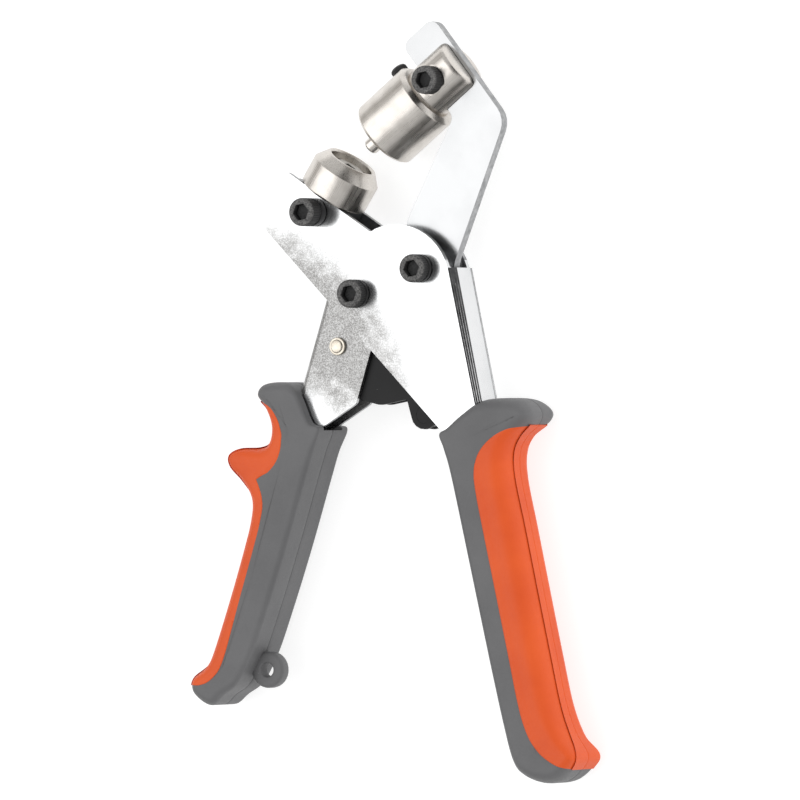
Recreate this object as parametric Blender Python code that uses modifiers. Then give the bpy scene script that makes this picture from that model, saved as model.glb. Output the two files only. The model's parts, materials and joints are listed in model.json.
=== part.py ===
"""Snap setter pliers: a hand press for 15 mm snaps, lying on its back.

The tool's plane is XY and its mid-plane is MID above the surface that it lies on. The origin is on the
arm pivot's axis, at that surface. +Y runs from the handles to the dies, +Z points out of the front plate.
Lengths in this file are millimetres; every mesh is scaled to metres when it is made.
"""
import math

import bmesh
import bpy
from mathutils import Matrix, Vector

MM = 0.001
GAP = 0.3                       # clearance between neighbouring pieces
MID = 12.8                      # height of the tool's mid-plane above the rest surface

# pivots, in the tool's plane
ARM_PIVOT = Vector((0.0, 0.0))
HANDLE_PIVOT = Vector((-24.5, -8.6))
LINK_RIVET = Vector((-33.1, -26.7))
TAIL_PIN = Vector((-0.5, -50.3))
DIE_SCREW = Vector((-41.3, 19.6))

# sheet metal: half widths from the mid-plane
FRAME_OUT, FRAME_IN = 8.2, 6.2
CHANNEL_OUT, CHANNEL_IN = 5.9, 4.4
LINK_OUT, LINK_IN = 4.1, 2.3
ARM_HALF = 2.0
WEB_LEAN = math.radians(12.0)   # frame web against the tool's long axis
WEB_TOP = Vector((12.7, 0.3))
CHANNEL_LEAN = math.radians(17.5)
CHANNEL_TOP = Vector((-38.8, -10.9))

# fasteners
BOLT_R, HEAD_R, SOCKET_R = 3.0, 4.9, 2.9
SLEEVE_R = 4.5
PIN_R = 2.5
OPEN_PIN_CLEARANCE = 0.5        # the linkage is opened at the tail pin

# dies
LOWER_LEAN = math.radians(57.3)
LOWER_FOOT = Vector((-38.6, 25.1))   # the lower die's axis where it meets the plates' top edge
LOWER_R, LOWER_TOP_R, RECESS_R = 12.25, 9.0, 7.8
LOWER_HEIGHT, LOWER_CHAMFER = 14.4, 4.2
RECESS_DEPTH, INSERT_DEPTH = 6.2, 2.0
SHANK_R = 4.8
UPPER_LEAN = math.radians(38.5)
UPPER_OFFSET = -47.6            # the upper die's axis beside the arm pivot
HOLDER_FACE, HOLDER_SHOULDER, HOLDER_END = 13.9, 37.0, 54.0
HOLDER_R, STEM_R = 12.7, 9.7
PUNCH_R, PUNCH_TOP, NUB_R, NUB_LENGTH = 5.0, 34.7, 2.8, 6.6
CLAMP_ALONG, SET_ALONG = 44.0, 32.9  # the clamp screw and the set screw along the upper die's axis
CLAMP_SEAT, CLAMP_TOP = 9.0, 14.8    # the clamp screw's head over the mid-plane
ARM_EDGE = 40.0                 # the arm's inner edge, where the holder's slot ends

# grips
LEFT_HALF, RIGHT_HALF = 11.0, 11.5   # half thicknesses
SPINE_WALL = 2.6                # wall of the grip core around its tang

ROUND = 32                      # sides of a die
BOLT_ROUND = 20                 # sides of a fastener
SMALL_ROUND = 20                # sides of a small hole or pin


# ---------------------------------------------------------------- scene and materials

def clear_scene():
    for obj in list(bpy.data.objects):
        bpy.data.objects.remove(obj, do_unlink=True)


def make_collection(name):
    group = bpy.data.collections.new(name)
    bpy.context.scene.collection.children.link(group)
    return group


def make_material(name, color, roughness, metallic):
    mat = bpy.data.materials.new(name)
    mat.use_nodes = True
    shader = mat.node_tree.nodes["Principled BSDF"]
    shader.inputs["Base Color"].default_value = (*color, 1.0)
    shader.inputs["Roughness"].default_value = roughness
    shader.inputs["Metallic"].default_value = metallic
    return mat


def place(obj, group, at=(0.0, 0.0, 0.0), turn=None):
    """Links the object and puts its origin at a point of the tool, in mm from the mid-plane."""
    group.objects.link(obj)
    spot = Matrix.Translation(Vector((at[0], at[1], at[2] + MID)) * MM)
    obj.matrix_world = spot @ (turn if turn else Matrix.Identity(4))
    return obj


def as_cutter(obj):
    obj.hide_render = True
    obj.display_type = "WIRE"
    return obj


def boolean(obj, tool, operation="DIFFERENCE"):
    mod = obj.modifiers.new(operation.lower(), "BOOLEAN")
    mod.operation = operation
    mod.object = tool
    mod.solver = "EXACT"


def shade(mesh, angle=35.0):
    mesh.shade_smooth()
    mesh.set_sharp_from_angle(angle=math.radians(angle))


# ---------------------------------------------------------------- outlines

def arc(center, radius, start, end, steps=10):
    """Points on a circle, from one angle to another in degrees."""
    angles = [math.radians(start + (end - start) * i / steps) for i in range(steps + 1)]
    return [Vector((center[0] + radius * math.cos(a), center[1] + radius * math.sin(a))) for a in angles]


def rounded(corners, steps=4):
    """A polygon from (x, y, radius) corners, each corner with a radius turned into a fillet."""
    points = []
    count = len(corners)
    for i, (x, y, radius) in enumerate(corners):
        here = Vector((x, y))
        if radius == 0:
            points.append(here)
            continue
        before = Vector(corners[i - 1][:2]) - here
        after = Vector(corners[(i + 1) % count][:2]) - here
        half = before.angle(after) / 2
        reach = min(radius / math.tan(half), 0.49 * before.length, 0.49 * after.length)
        radius = reach * math.tan(half)
        middle = here + (before.normalized() + after.normalized()).normalized() * radius / math.sin(half)
        first = here + before.normalized() * reach - middle
        last = here + after.normalized() * reach - middle
        sweep = first.angle_signed(last)
        for k in range(steps + 1):
            points.append(middle + Matrix.Rotation(-sweep * k / steps, 2) @ first)
    return points


def smooth(knots, steps=3):
    """A closed Catmull-Rom curve through (x, y, extra) knots; the extra value is blended along."""
    points = []
    count = len(knots)
    for i in range(count):
        a, b, c, d = (Vector(knots[(i + k - 1) % count]) for k in range(4))
        for k in range(steps):
            t = k / steps
            points.append(0.5 * (2 * b + (c - a) * t + (2 * a - 5 * b + 4 * c - d) * t ** 2
                                 + (3 * b - a - 3 * c + d) * t ** 3))
    return points


def signed_area(points):
    return 0.5 * sum(p.x * q.y - q.x * p.y for p, q in zip(points, points[1:] + points[:1]))


def outset(points, distance):
    """The polygon moved outwards by a distance, each point along the mitre of its two sides."""
    side = 1.0 if signed_area(points) > 0 else -1.0
    moved = []
    for i, here in enumerate(points):
        back = (here - points[i - 1]).normalized()
        ahead = (points[(i + 1) % len(points)] - here).normalized()
        mitre = Vector((back.y + ahead.y, -back.x - ahead.x)) * side
        scale = max(mitre.length_squared / 2, 0.5)
        moved.append(here + mitre * distance / scale)
    return moved


def lean(angle, point, along, across):
    """A point given along and across a leaning axis; across is to the axis's right."""
    axis = Vector((math.cos(angle), math.sin(angle)))
    right = Vector((axis.y, -axis.x))
    return Vector(point) + axis * along + right * across


def upper(along, across=0.0):
    return lean(UPPER_LEAN, ARM_PIVOT, along, across)


def lower(along, across=0.0):
    return lean(LOWER_LEAN, LOWER_FOOT, along, across)


def on_web(y, inset=0.0):
    """The frame web's outer line at a height, moved inwards by an inset."""
    return Vector((WEB_TOP.x + (WEB_TOP.y - y) * math.tan(WEB_LEAN) - inset / math.cos(WEB_LEAN), y))


def on_channel_web(y, inset=0.0):
    x = CHANNEL_TOP.x + (y - CHANNEL_TOP.y) * math.tan(CHANNEL_LEAN)
    return Vector((x + inset / math.cos(CHANNEL_LEAN), y))


# ---------------------------------------------------------------- shapes

def plate(name, outline, low, high, holes=()):
    """A flat plate as a filled 2D curve; holes are (center, radius) circles."""
    curve = bpy.data.curves.new(name, "CURVE")
    curve.dimensions = "2D"
    curve.fill_mode = "BOTH"
    curve.extrude = (high - low) / 2 * MM
    loops = [outline] + [arc(c, r, 0, 360, SMALL_ROUND)[:-1] for c, r in holes]
    for loop in loops:
        spline = curve.splines.new("POLY")
        spline.points.add(len(loop) - 1)
        for point, target in zip(loop, spline.points):
            target.co = (point.x * MM, point.y * MM, 0.0, 1.0)
        spline.use_cyclic_u = True
    rough = bpy.data.objects.new(name + "_curve", curve)
    bpy.context.scene.collection.objects.link(rough)
    view = bpy.context.evaluated_depsgraph_get()
    mesh = bpy.data.meshes.new_from_object(rough.evaluated_get(view))
    bpy.data.objects.remove(rough, do_unlink=True)
    edit = bmesh.new()
    edit.from_mesh(mesh)
    bmesh.ops.remove_doubles(edit, verts=edit.verts, dist=0.00001)
    bmesh.ops.translate(edit, verts=edit.verts, vec=(0, 0, (high + low) / 2 * MM))
    edit.to_mesh(mesh)
    edit.free()
    mesh.name = name
    return bpy.data.objects.new(name, mesh)


def round_bend(obj, line, height, radius, segments=4):
    """Rounds the two long edges of a plate that lie on a line, at plus and minus a height."""
    start, end = line
    along = (end - start).normalized()
    edit = bmesh.new()
    edit.from_mesh(obj.data)

    def on_line(vert):
        spot = Vector((vert.co.x, vert.co.y)) / MM - start
        return abs(spot.x * along.y - spot.y * along.x) < 0.02 and abs(abs(vert.co.z / MM) - height) < 0.01

    edges = [e for e in edit.edges
             if on_line(e.verts[0]) and on_line(e.verts[1]) and abs(e.verts[0].co.z - e.verts[1].co.z) < 1e-6]
    bmesh.ops.bevel(edit, geom=edges, offset=radius * MM, segments=segments, profile=0.5, affect="EDGES")
    edit.to_mesh(obj.data)
    edit.free()


def turned(name, profile, steps=ROUND):
    """A solid of revolution about Z from (radius, height) points that run down its outer side."""
    closed = profile[0][0] > 0
    mesh = bpy.data.meshes.new(name)
    verts = [(r * MM, 0.0, z * MM) for r, z in profile]
    edges = [(i, i + 1) for i in range(len(verts) - 1)]
    if closed:
        edges.append((len(verts) - 1, 0))
    mesh.from_pydata(verts, edges, [])
    obj = bpy.data.objects.new(name, mesh)
    screw = obj.modifiers.new("turn", "SCREW")
    screw.steps = steps
    screw.render_steps = steps
    screw.use_merge_vertices = True
    screw.merge_threshold = 0.00001
    screw.use_smooth_shade = True
    return obj


def cylinder(name, radius, low, high, sides=SMALL_ROUND):
    mesh = bpy.data.meshes.new(name)
    edit = bmesh.new()
    bmesh.ops.create_cone(edit, cap_ends=True, segments=sides, radius1=radius * MM, radius2=radius * MM,
                          depth=(high - low) * MM)
    bmesh.ops.translate(edit, verts=edit.verts, vec=(0, 0, (high + low) / 2 * MM))
    edit.to_mesh(mesh)
    edit.free()
    return bpy.data.objects.new(name, mesh)


def box(name, x, y, z):
    """A box between (low, high) pairs."""
    mesh = bpy.data.meshes.new(name)
    edit = bmesh.new()
    bmesh.ops.create_cube(edit, size=MM)
    size = Vector((x[1] - x[0], y[1] - y[0], z[1] - z[0]))
    middle = Vector((x[1] + x[0], y[1] + y[0], z[1] + z[0])) / 2
    bmesh.ops.scale(edit, verts=edit.verts, vec=size)
    bmesh.ops.translate(edit, verts=edit.verts, vec=middle * MM)
    edit.to_mesh(mesh)
    edit.free()
    return bpy.data.objects.new(name, mesh)


def along_axis(angle):
    """The turn that lays an object's Z along a leaning axis, its X across and its Y along the tool's Z."""
    axis = Vector((math.cos(angle), math.sin(angle), 0.0))
    right = Vector((axis.y, -axis.x, 0.0))
    return Matrix((right, axis.cross(right), axis)).transposed().to_4x4()


def pillow(name, knots, half):
    """A grip body: a closed outline of (x, y, edge radius) knots, its front and back edges rounded."""
    ring = smooth(knots)
    flat = [Vector((p.x, p.y)) for p in ring]
    angles = [0.0, 30.0, 60.0, 90.0]
    levels = [(-1.0, math.radians(a)) for a in reversed(angles)] + [(1.0, math.radians(a)) for a in angles]
    mesh = bpy.data.meshes.new(name)
    edit = bmesh.new()
    rows = []
    for side, angle in levels:
        row = []
        pulled = [outset_point(flat, i, -ring[i].z * (1 - math.cos(angle))) for i in range(len(flat))]
        for i, spot in enumerate(pulled):
            height = side * (half - ring[i].z * (1 - math.sin(angle)))
            row.append(edit.verts.new((spot.x * MM, spot.y * MM, height * MM)))
        rows.append(row)
    count = len(flat)
    for below, above in zip(rows, rows[1:]):
        for i in range(count):
            j = (i + 1) % count
            edit.faces.new((below[i], below[j], above[j], above[i]))
    edit.faces.new(list(reversed(rows[0])))
    edit.faces.new(rows[-1])
    bmesh.ops.recalc_face_normals(edit, faces=edit.faces)
    edit.to_mesh(mesh)
    edit.free()
    return bpy.data.objects.new(name, mesh)


def outset_point(points, i, distance):
    """One point of a closed outline moved along the outline's normal there."""
    side = 1.0 if signed_area(points) > 0 else -1.0
    ahead = (points[(i + 1) % len(points)] - points[i - 1]).normalized()
    return points[i] + Vector((ahead.y, -ahead.x)) * side * distance


# ---------------------------------------------------------------- outlines of the real pieces

def frame_outline():
    """Front and back plate of the frame, with the tang that runs down into the long grip."""
    seat = lower(0.0, -17.2)
    notch = lower(0.0, 22.9)
    left = rounded([(19, -72, 0), (13.3, -60.5, 3), (11.4, -56.4, 1), (8.6, -56.0, 1.2), (-60.6, 13.8, 2.6),
                    (-59.6, 21.5, 8), (*seat, 2.2), (*notch, 1.0), (0, 20, 0)])[1:-1]
    left = [p for p in left if p.y > -71.5]
    bump = arc((-9.5, -6.0), 21.3, 112, 17, 12)
    tang = [WEB_TOP, on_web(-148.0), Vector((34.8, -149.0)), Vector((15.9, -71.0))]
    return left + bump + tang


def channel_outline():
    """Sides of the short handle's channel, with the tang that runs down into the short grip."""
    top = arc(HANDLE_PIVOT, 9.6, -20, 130, 10)
    web = [on_channel_web(-2.5), on_channel_web(-124.0)]
    tang = [on_channel_web(-124.0, 9.4), on_channel_web(-59.0, 9.4)]
    low = rounded([(-48, -70, 0), (-41.3, -55.2, 1.0), (-38.9, -54.3, 1.0), (-26.2, -46.6, 2.2),
                   (-20.0, -27.1, 12), (-15.3, -12.0, 0)])[1:]
    return top + web + tang + low


def frame_tang():
    """The part of the frame that the long grip takes in, and the four corners of its tang."""
    taken = [on_web(-30.0), on_web(-148.0), Vector((34.8, -149.0)), Vector((15.9, -71.0)),
             Vector((12.9, -60.0)), Vector((11.3, -56.3)), Vector((8.4, -56.3)), Vector((-15, -33)),
             Vector((-15, -30))]
    spine = [on_web(-30.0), on_web(-148.0), Vector((34.8, -149.0)), Vector((6.0, -30.0))]
    return taken, spine


def channel_tang():
    """The part of the channel that the short grip takes in, and the four corners of its tang."""
    spine = [on_channel_web(-30.0), on_channel_web(-124.0), on_channel_web(-124.0, 9.4),
             on_channel_web(-30.0, 9.4)]
    taken = spine[:3] + [on_channel_web(-59.0, 9.4), Vector((-41.2, -55.0)), Vector((-38.8, -54.6)),
                         Vector((-20, -43)), Vector((-20, -30))]
    return taken, spine


def arm_outline():
    """The C-arm: top bar, long side, root at the pivot and tail to the tail pin."""
    def corner(along, across, radius):
        spot = upper(along, across)
        return (spot.x, spot.y, radius)

    head = rounded([(-8.9, -6.0, 0), corner(3.6, -18.1, 12), corner(ARM_EDGE, -34.7, 3.0),
                    corner(ARM_EDGE, -66.6, 3.2), corner(55.3, -66.6, 3.6), corner(55.3, -21.6, 8.0),
                    corner(9.8, 4.5, 10), (9.8, -2, 0)])
    root = arc(ARM_PIVOT, 9.8, -6, -44, 4)
    tail = arc(TAIL_PIN, 4.2, 4, -184, 10)
    return head[1:-1] + root + tail + [Vector((-8.9, -9.0))]


def link_outline():
    """A link plate: eye on the handle's rivet, wide belly, and the heel round the tail pin."""
    rivet_eye = arc(LINK_RIVET, 5.0, 75, 225, 8)
    belly = rounded([(-40, -30, 0), (-25.2, -45.2, 4), (-17.6, -47.0, 6), (-7.2, -45.0, 1.0),
                     (-6.0, -49.5, 0)])[1:-1]
    heel = arc(TAIL_PIN, 5.0, 190, 360, 8)
    top = rounded([(4.5, -49, 0), (3.5, -42.5, 4), (-17.0, -26.6, 4), (-31, -21, 0)])[1:-1]
    return rivet_eye + belly + heel + top


LEFT_GRIP = [  # (x, y, edge radius), from the inner top corner down the inner side and round
    (-38.4, -55.2, 0.8), (-41.2, -63.2, 2.0), (-44.2, -72.4, 2.0), (-51.9, -96.6, 2.0), (-59.5, -118.4, 2.0),
    (-65.3, -133.4, 2.0), (-71.0, -143.3, 2.0), (-76.8, -147.6, 2.6), (-81.0, -151.0, 3.0),
    (-85.3, -150.3, 3.4), (-89.2, -146.3, 3.0), (-88.9, -141.8, 3.4), (-84.6, -137.2, 5.0),
    (-81.9, -131.2, 6.0), (-75.7, -113.2, 6.5), (-70.4, -96.6, 6.5), (-67.6, -86.8, 6.0),
    (-66.9, -79.6, 5.0), (-69.8, -73.0, 3.4), (-73.6, -68.0, 2.2), (-73.7, -64.4, 1.8), (-69.8, -62.2, 3.0),
    (-63.2, -61.8, 4.0), (-59.9, -60.0, 4.6), (-59.0, -54.6, 5.0), (-60.9, -48.3, 4.0), (-63.4, -43.7, 2.0),
    (-61.7, -40.1, 1.8), (-56.5, -39.0, 2.2), (-50.6, -39.9, 2.0), (-46.8, -44.0, 1.6), (-42.6, -52.9, 1.2),
]
LEFT_ORANGE = [  # border on the front, from the top round the hook to the bottom
    (-70.0, -45.6), (-62.0, -45.8), (-58.4, -47.0), (-55.1, -50.8), (-53.1, -55.6), (-53.2, -62.5), (-55.8, -68.3),
    (-60.2, -71.2), (-62.6, -72.6), (-61.3, -76.4), (-60.3, -81.0), (-61.0, -86.4), (-66.0, -103.5),
    (-71.3, -120.8), (-76.0, -135.8), (-79.0, -140.6), (-83.4, -143.7), (-95.0, -144.6),
]
RIGHT_GRIP = [  # (x, y, edge radius), from the inner top corner round the top flare and down the outer side
    (8.9, -57.0, 1.2), (11.9, -54.6, 1.6), (17.2, -49.7, 2.2), (22.6, -45.6, 2.6), (30.0, -44.5, 3.0),
    (38.6, -45.1, 3.0), (43.0, -48.8, 2.6), (42.6, -52.8, 3.0), (37.4, -57.5, 4.0), (34.6, -63.0, 6.0),
    (34.9, -71.8, 7.0), (38.8, -88.9, 7.5), (43.6, -110.5, 7.5), (48.5, -132.2, 7.5), (52.4, -148.9, 7.0),
    (56.2, -159.0, 5.5), (60.7, -166.2, 3.4), (59.2, -170.6, 3.6), (54.0, -175.2, 4.0), (47.4, -176.2, 4.2),
    (40.4, -173.8, 4.0), (36.6, -169.0, 3.4), (33.4, -156.6, 2.6), (28.2, -135.2, 2.4), (20.1, -100.8, 2.4),
    (13.2, -71.5, 2.2), (10.4, -62.0, 1.8),
]
RIGHT_ORANGE = [  # border on the front, from the top round the swell to the bottom
    (60.0, -52.0), (42.0, -54.0), (35.1, -55.1), (30.4, -57.4), (26.4, -60.8), (23.7, -65.0), (22.9, -70.4),
    (24.0, -78.6), (28.8, -100.0), (33.2, -119.3), (36.8, -135.2), (40.4, -151.0), (43.6, -159.6),
    (48.0, -165.6), (53.6, -169.6), (70.0, -174.5),
]


# ---------------------------------------------------------------- the frame and its die

def build_frame(parts, cutters, steel):
    outline = frame_outline()
    holes = [(DIE_SCREW, BOLT_R + GAP), (HANDLE_PIVOT, BOLT_R + GAP), (ARM_PIVOT, BOLT_R + GAP)]
    frame = plate("frame_channel", outline, -FRAME_OUT, FRAME_OUT, holes)
    round_bend(frame, (on_web(0.3), on_web(-148.0)), FRAME_OUT, 3.4)
    frame.data.materials.append(steel)
    place(frame, parts)
    inside = [Vector((-90, -160)), on_web(-160.0, FRAME_OUT - FRAME_IN), on_web(0.3, FRAME_OUT - FRAME_IN),
              Vector((40, 0.3)), Vector((40, 60)), Vector((-90, 60))]
    pocket = plate("frame_inside", inside, -FRAME_IN, FRAME_IN)
    round_bend(pocket, (on_web(0.3, 2.0), on_web(-160.0, 2.0)), FRAME_IN, 1.6, 3)
    boolean(frame, as_cutter(place(pocket, cutters)))
    shade(frame.data)


def build_lower_die(parts, cutters, nickel, steel, black):
    turn = along_axis(LOWER_LEAN)
    foot = (*LOWER_FOOT, 0.0)
    cross = as_cutter(place(cylinder("die_screw_hole", BOLT_R + GAP, -20, 20), cutters, (*DIE_SCREW, 0.0)))

    top = LOWER_HEIGHT
    cup = turned("lower_die_cup", [
        (0.0, top - RECESS_DEPTH), (RECESS_R, top - RECESS_DEPTH), (RECESS_R, top - 0.5), (RECESS_R + 0.5, top),
        (LOWER_TOP_R, top), (LOWER_R, top - LOWER_CHAMFER), (LOWER_R, 0.9), (LOWER_R - 0.6, GAP),
        (SHANK_R, GAP), (SHANK_R, -11.0), (SHANK_R - 0.8, -11.8), (0.0, -11.8)])
    cup.data.materials.append(nickel)
    place(cup, parts, foot, turn)
    boolean(cup, cross)

    high = top - INSERT_DEPTH
    low = top - RECESS_DEPTH + GAP
    insert = turned("lower_die_insert", [
        (1.3, high - 0.3), (1.6, high), (5.6, high), (6.9, high - 1.0), (6.9, low), (1.3, low)], 28)
    insert.data.materials.append(nickel)
    place(insert, parts, foot, turn)
    for side in (-1, 1):
        slot = box(f"insert_slot_{side + 1}", (-0.8, 0.8), sorted((side * 4.4, side * 9.0)), (low + 2.0, high + 3))
        boolean(insert, as_cutter(place(slot, cutters, foot, turn)))

    block = box("lower_die_block", (-12.4, 10.4), (-FRAME_IN + GAP, FRAME_IN - GAP), (-13.6, -0.4))
    block.data.materials.append(steel)
    place(block, parts, foot, turn)
    bore = as_cutter(place(cylinder("die_bore", SHANK_R + GAP, -20, 5, ROUND), cutters, foot, turn))
    boolean(block, bore)
    boolean(block, cross)

    socket_bolt("lower_die_screw", DIE_SCREW, 12.3, 18.2, parts, cutters, black)
    ring("lower_die_screw_collar", DIE_SCREW, BOLT_R + GAP, 4.9, FRAME_OUT + GAP, 12.0, parts, black, 0.5)
    nut("lower_die_screw_nut", DIE_SCREW, parts, black)


def socket_bolt(name, at, seat, top, parts, cutters, mat):
    """A socket-head bolt through the frame: head between seat and top, end face on the rest surface."""
    bolt = turned(name, [
        (0.0, top), (HEAD_R - 0.9, top), (HEAD_R - 0.3, top - 0.3), (HEAD_R, top - 0.9), (HEAD_R, seat + 0.5),
        (HEAD_R - 0.5, seat), (BOLT_R, seat), (BOLT_R, -MID), (0.0, -MID)], BOLT_ROUND)
    bolt.data.materials.append(mat)
    place(bolt, parts, (*at, 0.0))
    hexagon = cylinder(name + "_hex", SOCKET_R, top - 3.0, top + 2.0, 6)
    boolean(bolt, as_cutter(place(hexagon, cutters, (*at, 0.0))))


def ring(name, at, inner, outer, low, high, parts, mat, chamfer=0.0, steps=BOLT_ROUND):
    """A washer, sleeve or spacer about an axis along Z."""
    profile = [(inner, high), (outer - chamfer, high), (outer, high - chamfer), (outer, low + chamfer),
               (outer - chamfer, low), (inner, low)]
    if chamfer == 0:
        profile = [(inner, high), (outer, high), (outer, low), (inner, low)]
    obj = turned(name, profile, steps)
    obj.data.materials.append(mat)
    place(obj, parts, (*at, 0.0))


def nut(name, at, parts, mat):
    """A hexagon nut between the rear plate and the rest surface."""
    across_corners = 5.7
    outline = arc(at, across_corners, 30, 330, 5)
    obj = plate(name, outline, -MID, -FRAME_OUT - GAP, [(at, BOLT_R + GAP)])
    obj.data.materials.append(mat)
    place(obj, parts)


def build_pivots(parts, cutters, steel, black):
    for name, at in (("handle_pivot", HANDLE_PIVOT), ("arm_pivot", ARM_PIVOT)):
        socket_bolt(name + "_bolt", at, 10.6, 14.6, parts, cutters, black)
        ring(name + "_washer", at, BOLT_R + GAP, 4.9, FRAME_OUT + GAP, 10.3, parts, black, 0.4)
        nut(name + "_nut", at, parts, black)
        ring(name + "_sleeve", at, BOLT_R + GAP, SLEEVE_R, -FRAME_IN + GAP, FRAME_IN - GAP, parts, steel)
    inner = SLEEVE_R + GAP
    ring("arm_spacer_front", ARM_PIVOT, inner, 7.6, ARM_HALF + GAP, FRAME_IN - GAP, parts, steel)
    ring("arm_spacer_rear", ARM_PIVOT, inner, 6.2, -FRAME_IN + GAP, -ARM_HALF - GAP, parts, steel)


def build_spring(parts, steel):
    """Torsion spring round the rear spacer: one leg on the frame's web, one on the arm's tail."""
    radius, wire = 7.1, 0.5
    low, high = -FRAME_IN + GAP + wire, -ARM_HALF - GAP - wire
    start, finish = 17.0, 575.0
    sweep = finish - start
    steps = 36
    coil = []
    for i in range(steps + 1):
        angle = math.radians(start + sweep * i / steps)
        coil.append((radius * math.cos(angle), radius * math.sin(angle), low + (high - low) * i / steps))
    head, tail = math.radians(start), math.radians(finish)
    web_leg = [(coil[0][0] + t * math.sin(head), coil[0][1] - t * math.cos(head), low) for t in (23.0, 12.0)]
    arm_leg = [(coil[-1][0] - t * math.sin(tail), coil[-1][1] + t * math.cos(tail), high) for t in (11.0, 22.8)]
    hook = [(arm_leg[-1][0] + 0.9, arm_leg[-1][1] - 1.2, high + 0.8), (arm_leg[-1][0] + 1.0, arm_leg[-1][1] - 1.3, 1.2)]
    path = web_leg + coil + arm_leg + hook
    curve = bpy.data.curves.new("return_spring", "CURVE")
    curve.dimensions = "3D"
    curve.bevel_depth = wire * MM
    curve.bevel_resolution = 1
    curve.use_fill_caps = True
    spline = curve.splines.new("POLY")
    spline.points.add(len(path) - 1)
    for target, point in zip(spline.points, path):
        target.co = (point[0] * MM, point[1] * MM, point[2] * MM, 1.0)
    curve.materials.append(steel)
    place(bpy.data.objects.new("return_spring", curve), parts)


# ---------------------------------------------------------------- the arm and the upper die

def build_arm(parts, steel, black):
    screw_at = upper(CLAMP_ALONG, UPPER_OFFSET)
    arm = plate("arm_plate", arm_outline(), -ARM_HALF, ARM_HALF,
                [(ARM_PIVOT, SLEEVE_R + GAP), (TAIL_PIN, PIN_R + GAP), (screw_at, PIN_R + GAP)])
    arm.data.materials.append(steel)
    place(arm, parts)
    shade(arm.data)
    pin = cylinder("tail_pin", PIN_R, -LINK_OUT, LINK_OUT)
    pin.data.materials.append(black)
    place(pin, parts, (*TAIL_PIN, 0.0))
    shade(pin.data)


def build_upper_die(parts, cutters, nickel, black):
    turn = along_axis(UPPER_LEAN)
    base = (*upper(0.0, UPPER_OFFSET), 0.0)
    shoulder = HOLDER_SHOULDER
    face = HOLDER_FACE
    end = HOLDER_END
    holder = turned("upper_die_holder", [
        (0.0, end), (STEM_R - 2.2, end), (STEM_R - 0.7, end - 0.6), (STEM_R, end - 2.0),
        (STEM_R, shoulder + 0.6), (STEM_R - 0.5, shoulder + 0.5), (STEM_R - 0.5, shoulder),
        (HOLDER_R - 1.6, shoulder), (HOLDER_R, shoulder - 1.6), (HOLDER_R, face + 1.1), (HOLDER_R - 1.1, face),
        (PUNCH_R + GAP, face), (PUNCH_R + GAP, PUNCH_TOP + 0.4), (0.0, PUNCH_TOP + 0.4)])
    holder.data.materials.append(nickel)
    place(holder, parts, base, turn)
    slot = box("holder_slot", (-15, 15), (-ARM_HALF - GAP, ARM_HALF + GAP), (ARM_EDGE - GAP, 60))
    boolean(holder, as_cutter(place(slot, cutters, base, turn)))
    screw_at = (*upper(CLAMP_ALONG, UPPER_OFFSET), 0.0)
    boolean(holder, as_cutter(place(cylinder("holder_screw_hole", PIN_R + GAP, -15, 15), cutters, screw_at)))
    seat = cylinder("holder_screw_seat", HEAD_R + 0.4, CLAMP_SEAT - GAP, 20, 24)
    boolean(holder, as_cutter(place(seat, cutters, screw_at)))

    seat_at = (*upper(SET_ALONG, UPPER_OFFSET), 0.0)
    sideways = along_axis(UPPER_LEAN + math.pi / 2)
    hole = cylinder("set_screw_hole", 3.0 + GAP, PUNCH_R + 0.1, 20)
    boolean(holder, as_cutter(place(hole, cutters, seat_at, sideways)))

    punch = turned("upper_die_punch", [
        (0.0, PUNCH_TOP), (PUNCH_R, PUNCH_TOP), (PUNCH_R, face), (NUB_R, face), (NUB_R, face - NUB_LENGTH + 0.6),
        (NUB_R - 0.6, face - NUB_LENGTH), (0.0, face - NUB_LENGTH)], 28)
    punch.data.materials.append(nickel)
    place(punch, parts, base, turn)

    top = CLAMP_TOP
    screw = turned("holder_clamp_screw", [
        (0.0, top), (HEAD_R - 0.9, top), (HEAD_R - 0.3, top - 0.3), (HEAD_R, top - 0.9), (HEAD_R, CLAMP_SEAT),
        (PIN_R, CLAMP_SEAT), (PIN_R, -STEM_R + 0.6), (0.0, -STEM_R + 0.6)], BOLT_ROUND)
    screw.data.materials.append(black)
    place(screw, parts, screw_at)
    boolean(screw, as_cutter(place(cylinder("clamp_hex", SOCKET_R, top - 3.0, 20, 6), cutters, screw_at)))

    grub = turned("punch_set_screw", [
        (0.0, 14.8), (2.5, 14.8), (3.0, 14.3), (3.0, 6.6), (1.6, PUNCH_R + GAP), (0.0, PUNCH_R + GAP)], BOLT_ROUND)
    grub.data.materials.append(black)
    place(grub, parts, seat_at, sideways)
    boolean(grub, as_cutter(place(cylinder("grub_hex", 1.6, 12.4, 20, 6), cutters, seat_at, sideways)))


# ---------------------------------------------------------------- the short handle and the link

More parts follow.
